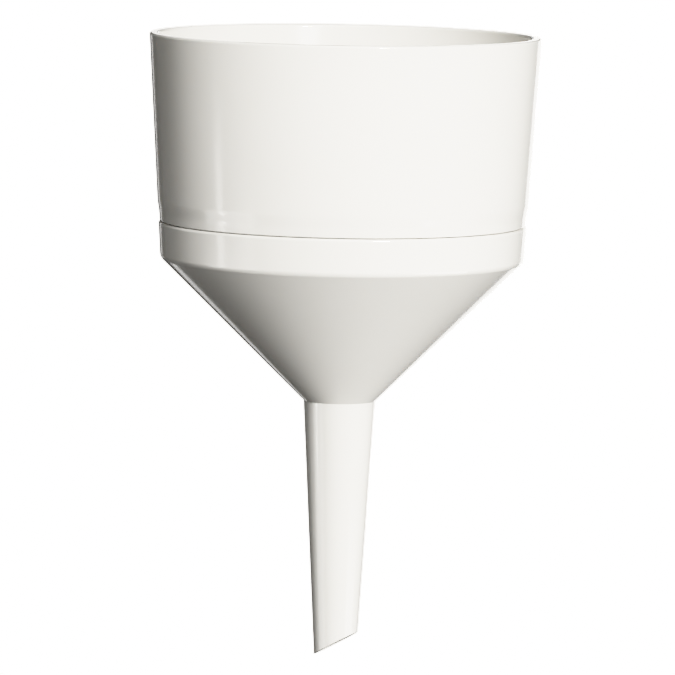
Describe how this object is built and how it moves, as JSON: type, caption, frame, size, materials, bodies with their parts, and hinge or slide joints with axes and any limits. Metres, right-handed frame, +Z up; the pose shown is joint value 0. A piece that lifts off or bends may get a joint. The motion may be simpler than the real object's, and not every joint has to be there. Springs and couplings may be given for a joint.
{
  "type": "buchner funnel",
  "caption": "Moulded white plastic vacuum filter funnel: a tapered cup with a loose perforated plate lifts off a cone base with a long, obliquely cut stem.",
  "frame": {"origin": "on the funnel's axis at the top of the stem, where the stem meets the cone", "axes": "+Z up the funnel's axis towards the rim; -X towards the long side of the stem's oblique tip, which is turned 18 degrees from it towards the back; +Y to the back"},
  "size_m": [0.123, 0.123, 0.1969],
  "materials": {
    "cup_polypropylene": "moulded polypropylene, smooth and semi-gloss",
    "plate_polypropylene": "moulded polypropylene, smooth and semi-gloss",
    "ring_silicone": "milky silicone rubber, satin",
    "base_polypropylene": "moulded polypropylene, smooth and semi-gloss"
  },
  "bodies": {
    "base": {"funnel_base": "base_polypropylene"},
    "seal": {"sealing_ring": "ring_silicone"},
    "cup": {"filter_cup": "cup_polypropylene"},
    "plate": {"perforated_plate": "plate_polypropylene"}
  },
  "joints": [
    {"name": "cup_lift", "type": "slide", "parent": "base", "child": "seal", "axis": [0, 0, 1], "range_m": [0, 0.06]},
    {"name": "cup_twist", "type": "hinge", "parent": "seal", "child": "cup", "pos_m": [0, 0, 0.0564], "axis": [0, 0, 1], "continuous": true},
    {"name": "plate_lift", "type": "slide", "parent": "cup", "child": "plate", "axis": [0, 0, 1], "range_m": [0, 0.08]}
  ]
}
